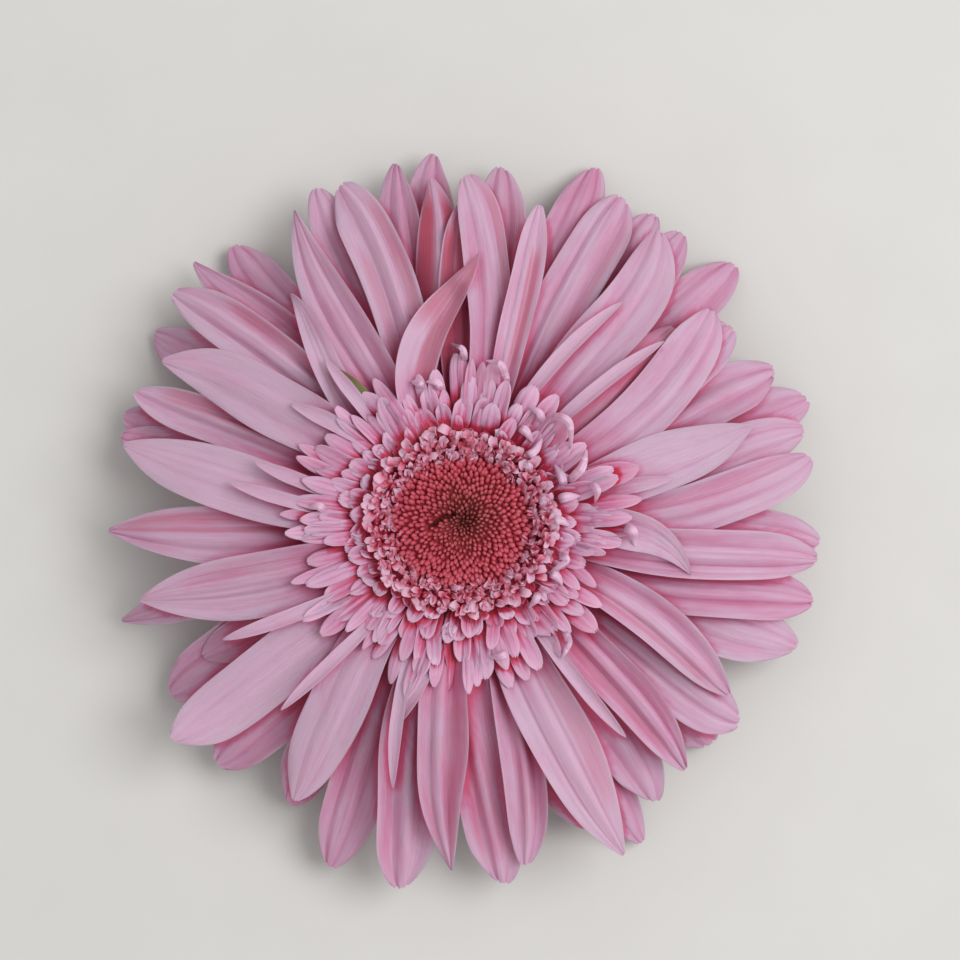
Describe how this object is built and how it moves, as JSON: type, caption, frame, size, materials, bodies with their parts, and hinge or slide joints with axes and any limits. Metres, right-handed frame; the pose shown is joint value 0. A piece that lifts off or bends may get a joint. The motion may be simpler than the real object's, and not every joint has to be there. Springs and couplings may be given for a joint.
{
  "type": "gerbera flower head",
  "caption": "Preserved gerbera flower head: long pink ray florets around rings of short florets and a coral disc, on a green calyx with a short cut stalk.",
  "frame": {"origin": "centre of the stalk stub's cut face, on the plane the head rests on", "axes": "+Z the way the flower looks, out of the disc; +X and +Y in the plane of the head"},
  "size_m": [0.1111, 0.1157, 0.0327],
  "materials": {
    "ray_petal": "preserved petal, matte with a faint satin sheen",
    "trans_petal": "preserved petal, matte",
    "disc_florets": "closed buds, matte",
    "bract": "leafy, downy",
    "receptacle": "leafy, downy, cut face below"
  },
  "bodies": {
    "root": {"receptacle": "receptacle", "bracts_outer": "bract", "bracts_inner": "bract", "disc_florets": "disc_florets", "trans_florets_outer": "trans_petal", "trans_florets_middle": "trans_petal", "trans_florets_inner": "trans_petal", "ray_floret_01": "ray_petal", "ray_floret_02": "ray_petal", "ray_floret_03": "ray_petal", "ray_floret_04": "ray_petal", "ray_floret_05": "ray_petal", "ray_floret_06": "ray_petal", "ray_floret_07": "ray_petal", "ray_floret_08": "ray_petal", "ray_floret_09": "ray_petal", "ray_floret_10": "ray_petal", "ray_floret_11": "ray_petal", "ray_floret_12": "ray_petal", "ray_floret_13": "ray_petal", "ray_floret_14": "ray_petal", "ray_floret_15": "ray_petal", "ray_floret_16": "ray_petal", "ray_floret_17": "ray_petal", "ray_floret_18": "ray_petal", "ray_floret_19": "ray_petal", "ray_floret_20": "ray_petal", "ray_floret_21": "ray_petal", "ray_floret_22": "ray_petal", "ray_floret_23": "ray_petal", "ray_floret_24": "ray_petal", "ray_floret_25": "ray_petal", "ray_floret_26": "ray_petal", "ray_floret_27": "ray_petal", "ray_floret_28": "ray_petal", "ray_floret_29": "ray_petal", "ray_floret_30": "ray_petal", "ray_floret_31": "ray_petal", "ray_floret_32": "ray_petal", "ray_floret_33": "ray_petal", "ray_floret_34": "ray_petal", "ray_floret_35": "ray_petal", "ray_floret_36": "ray_petal", "ray_floret_37": "ray_petal", "ray_floret_38": "ray_petal", "ray_floret_39": "ray_petal", "ray_floret_40": "ray_petal", "ray_floret_41": "ray_petal", "ray_floret_42": "ray_petal", "ray_floret_43": "ray_petal", "ray_floret_44": "ray_petal", "ray_floret_45": "ray_petal", "ray_floret_46": "ray_petal", "ray_floret_47": "ray_petal", "ray_floret_48": "ray_petal", "ray_floret_49": "ray_petal", "ray_floret_50": "ray_petal", "ray_floret_51": "ray_petal", "ray_floret_52": "ray_petal", "ray_floret_53": "ray_petal"}
  },
  "joints": []
}
